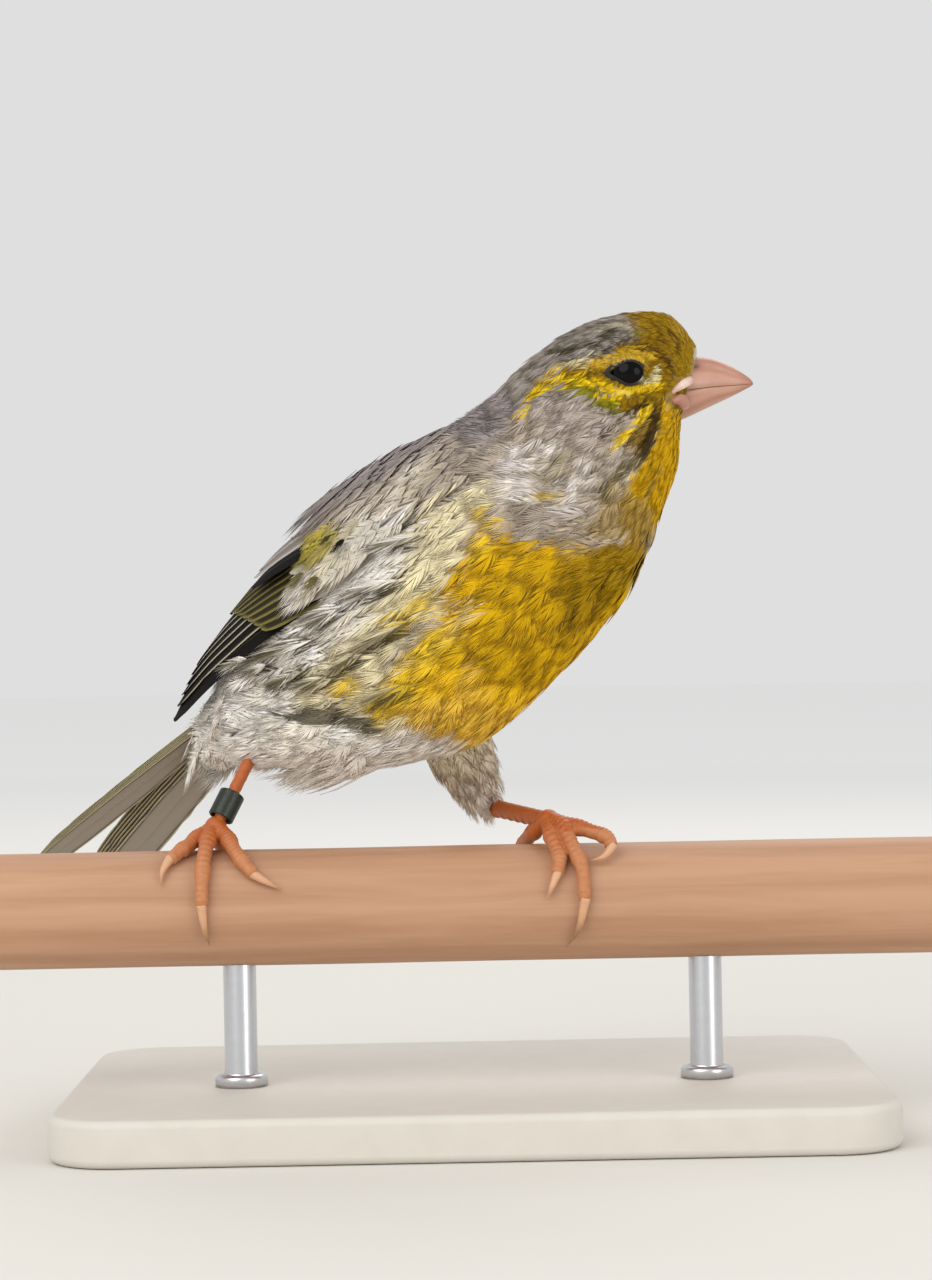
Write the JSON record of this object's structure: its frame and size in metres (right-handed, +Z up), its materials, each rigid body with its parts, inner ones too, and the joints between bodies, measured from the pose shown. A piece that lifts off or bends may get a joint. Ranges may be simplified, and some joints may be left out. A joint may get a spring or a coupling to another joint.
{
  "type": "perched canary figure",
  "caption": "Life-size canary gripping a cut length of round wooden perch, head turned in profile, one leg ringed, on a flat base with two short rods.",
  "frame": {"origin": "centre of the underside of the stand's base, on the surface that it rests on", "axes": "+X along the perch towards the side that the bill points to, +Z up, and the front toes come over the perch on the -Y side"},
  "size_m": [0.132, 0.078, 0.1071],
  "materials": {
    "body_plumage": "soft feathers, yellow breast with streaked white flanks",
    "grey_plumage": "soft feathers, pale grey with dark streaks",
    "head_plumage": "soft feathers, olive-yellow face and grey crown",
    "flight_feathers": "stiff vanes, dark with pale olive edges",
    "bill": "smooth pink horn",
    "eye": "wet near-black",
    "leg_skin": "scaly orange-pink skin",
    "claw": "pale horn",
    "leg_band": "dark anodised closed ring",
    "perch_wood": "smooth planed round wood",
    "stand_base": "matt pale painted block",
    "stand_rod": "plain satin rod"
  },
  "bodies": {
    "root": {"bill_lower": "bill", "bill_upper": "bill", "claw_left_1": "claw", "claw_left_2": "claw", "claw_left_3": "claw", "claw_left_4": "claw", "claw_right_1": "claw", "claw_right_2": "claw", "claw_right_3": "claw", "claw_right_4": "claw", "eye_left": "eye", "eye_right": "eye", "foot_left": "leg_skin", "foot_right": "leg_skin", "head": "head_plumage", "leg_band": "leg_band", "leg_left": "leg_skin", "leg_right": "leg_skin", "neck": "grey_plumage", "perch": "perch_wood", "stand_base": "stand_base", "stand_rod_left": "stand_rod", "stand_rod_right": "stand_rod", "tail": "flight_feathers", "thigh_left": "grey_plumage", "thigh_right": "grey_plumage", "torso": "body_plumage", "wing_left": "flight_feathers", "wing_right": "flight_feathers"}
  },
  "joints": []
}
